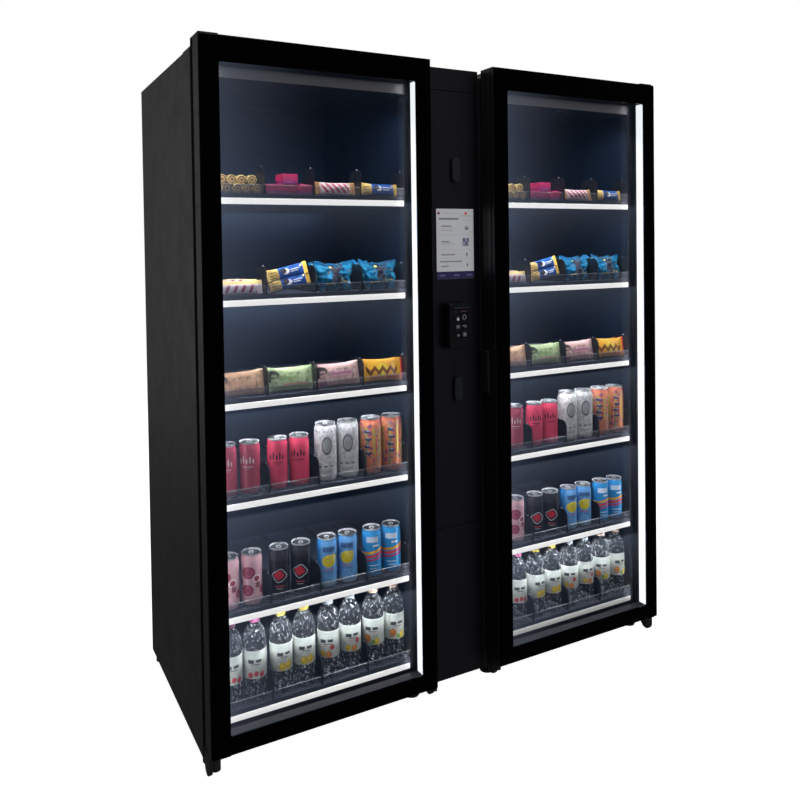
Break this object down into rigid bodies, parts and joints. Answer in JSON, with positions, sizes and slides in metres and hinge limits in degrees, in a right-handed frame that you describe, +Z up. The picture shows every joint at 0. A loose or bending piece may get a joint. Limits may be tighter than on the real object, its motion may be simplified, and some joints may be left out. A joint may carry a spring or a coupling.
{
  "type": "snack vending machine",
  "caption": "Free-standing smart vending machine: glass-door chilled cabinets side by side, with a control column between them that holds a screen and a payment reader.",
  "frame": {"origin": "on the floor under the middle of the machine", "axes": "+X along the front towards the right cabinet as seen by a customer, +Y from the front to the back, +Z up"},
  "size_m": [1.6, 0.75, 1.9496],
  "materials": {
    "black_coated_steel": "matt black powder coat",
    "column_coated_steel": "satin charcoal powder coat",
    "liner_coated_steel": "satin dark slate coating",
    "shelf_coated_steel": "satin grey coating",
    "frame_aluminium": "dark anodised extrusion",
    "door_glass": "clear toughened glass with a black printed border",
    "gasket_rubber": "matt black seal",
    "light_diffuser": "white lamp diffuser",
    "black_plastic": "moulded black plastic",
    "handle_grey": "fine textured grey",
    "plated_steel": "zinc plated",
    "condenser_fins": "bare fins",
    "screen_glass": "touch screen front",
    "clear_plastic": "clear shelf fences and bottles",
    "can_print": "printed drink can",
    "film_pack": "printed snack film",
    "card_pack": "printed card carton"
  },
  "bodies": {
    "root": {"column_housing": "column_coated_steel", "column_top_panel": "column_coated_steel", "compressor": "black_coated_steel", "condenser_coil": "condenser_fins", "controller_box": "handle_grey", "left_cabinet_shell": "black_coated_steel", "left_camera": "black_plastic", "left_evaporator_cover": "shelf_coated_steel", "left_hinge_bottom": "black_coated_steel", "left_hinge_top": "black_coated_steel", "left_liner": "liner_coated_steel", "left_lock_magnet": "plated_steel", "left_shelf_1": "shelf_coated_steel", "left_shelf_2": "shelf_coated_steel", "left_shelf_3": "shelf_coated_steel", "left_shelf_4": "shelf_coated_steel", "left_shelf_5": "shelf_coated_steel", "left_shelf_6": "shelf_coated_steel", "lower_panel": "column_coated_steel", "right_cabinet_shell": "black_coated_steel", "right_camera": "black_plastic", "right_evaporator_cover": "shelf_coated_steel", "right_hinge_bottom": "black_coated_steel", "right_hinge_top": "black_coated_steel", "right_liner": "liner_coated_steel", "right_lock_magnet": "plated_steel", "right_shelf_1": "shelf_coated_steel", "right_shelf_2": "shelf_coated_steel", "right_shelf_3": "shelf_coated_steel", "right_shelf_4": "shelf_coated_steel", "right_shelf_5": "shelf_coated_steel", "right_shelf_6": "shelf_coated_steel"},
    "left_door": {"left_door_frame": "frame_aluminium", "left_door_gasket": "gasket_rubber", "left_door_handle": "handle_grey", "left_door_inner_glass": "door_glass", "left_door_light_bar": "light_diffuser", "left_door_outer_glass": "door_glass"},
    "left_evaporator_fan": {"left_evaporator_fan": "black_plastic"},
    "left_foot_1": {"left_foot_1": "plated_steel"},
    "left_foot_2": {"left_foot_2": "plated_steel"},
    "left_foot_3": {"left_foot_3": "plated_steel"},
    "left_foot_4": {"left_foot_4": "plated_steel"},
    "right_door": {"right_door_frame": "frame_aluminium", "right_door_gasket": "gasket_rubber", "right_door_handle": "handle_grey", "right_door_inner_glass": "door_glass", "right_door_light_bar": "light_diffuser", "right_door_outer_glass": "door_glass"},
    "right_evaporator_fan": {"right_evaporator_fan": "black_plastic"},
    "right_foot_1": {"right_foot_1": "plated_steel"},
    "right_foot_2": {"right_foot_2": "plated_steel"},
    "right_foot_3": {"right_foot_3": "plated_steel"},
    "right_foot_4": {"right_foot_4": "plated_steel"},
    "service_door": {"service_door": "column_coated_steel", "screen": "screen_glass", "card_reader": "black_plastic"},
    "swing_handle_upper": {"swing_handle_upper": "handle_grey"},
    "swing_handle_lower": {"swing_handle_lower": "handle_grey"},
    "condenser_fan": {"condenser_fan": "black_plastic"}
  },
  "joints": [
    {"name": "left_door_hinge", "type": "hinge", "parent": "root", "child": "left_door", "pos_m": [-0.78, -0.34, 0.065], "axis": [0, 0, -1], "range_deg": [0, 110], "stiffness_Nm_per_rad": 2.5, "springref_deg": -34.38},
    {"name": "left_evaporator_fan_spin", "type": "hinge", "parent": "root", "child": "left_evaporator_fan", "pos_m": [-0.45625, 0.08, 1.864], "axis": [0, 0, 1], "continuous": true},
    {"name": "left_foot_1_turn", "type": "hinge", "parent": "root", "child": "left_foot_1", "pos_m": [-0.77, -0.2595, 0], "axis": [0, 0, 1], "continuous": true},
    {"name": "left_foot_2_turn", "type": "hinge", "parent": "root", "child": "left_foot_2", "pos_m": [-0.77, 0.345, 0], "axis": [0, 0, 1], "continuous": true},
    {"name": "left_foot_3_turn", "type": "hinge", "parent": "root", "child": "left_foot_3", "pos_m": [-0.1425, -0.2595, 0], "axis": [0, 0, 1], "continuous": true},
    {"name": "left_foot_4_turn", "type": "hinge", "parent": "root", "child": "left_foot_4", "pos_m": [-0.1425, 0.345, 0], "axis": [0, 0, 1], "continuous": true},
    {"name": "right_door_hinge", "type": "hinge", "parent": "root", "child": "right_door", "pos_m": [0.78, -0.34, 0.065], "axis": [0, 0, 1], "range_deg": [0, 110], "stiffness_Nm_per_rad": 2.5, "springref_deg": -34.38},
    {"name": "right_evaporator_fan_spin", "type": "hinge", "parent": "root", "child": "right_evaporator_fan", "pos_m": [0.45625, 0.08, 1.864], "axis": [0, 0, 1], "continuous": true},
    {"name": "right_foot_1_turn", "type": "hinge", "parent": "root", "child": "right_foot_1", "pos_m": [0.77, -0.2595, 0], "axis": [0, 0, 1], "continuous": true},
    {"name": "right_foot_2_turn", "type": "hinge", "parent": "root", "child": "right_foot_2", "pos_m": [0.77, 0.345, 0], "axis": [0, 0, 1], "continuous": true},
    {"name": "right_foot_3_turn", "type": "hinge", "parent": "root", "child": "right_foot_3", "pos_m": [0.1425, -0.2595, 0], "axis": [0, 0, 1], "continuous": true},
    {"name": "right_foot_4_turn", "type": "hinge", "parent": "root", "child": "right_foot_4", "pos_m": [0.1425, 0.345, 0], "axis": [0, 0, 1], "continuous": true},
    {"name": "service_door_hinge", "type": "hinge", "parent": "root", "child": "service_door", "pos_m": [-0.0985, -0.286, 0.507], "axis": [0, 0, -1], "range_deg": [0, 55]},
    {"name": "swing_handle_upper_turn", "type": "hinge", "parent": "service_door", "child": "swing_handle_upper", "pos_m": [0.0216, -0.2993, 1.654], "axis": [0, 1, 0], "range_deg": [0, 90]},
    {"name": "swing_handle_lower_turn", "type": "hinge", "parent": "service_door", "child": "swing_handle_lower", "pos_m": [0.0216, -0.2993, 0.967], "axis": [0, 1, 0], "range_deg": [0, 90]},
    {"name": "condenser_fan_spin", "type": "hinge", "parent": "root", "child": "condenser_fan", "pos_m": [0, -0.15, 0.1373], "axis": [0, 1, 0], "continuous": true}
  ]
}
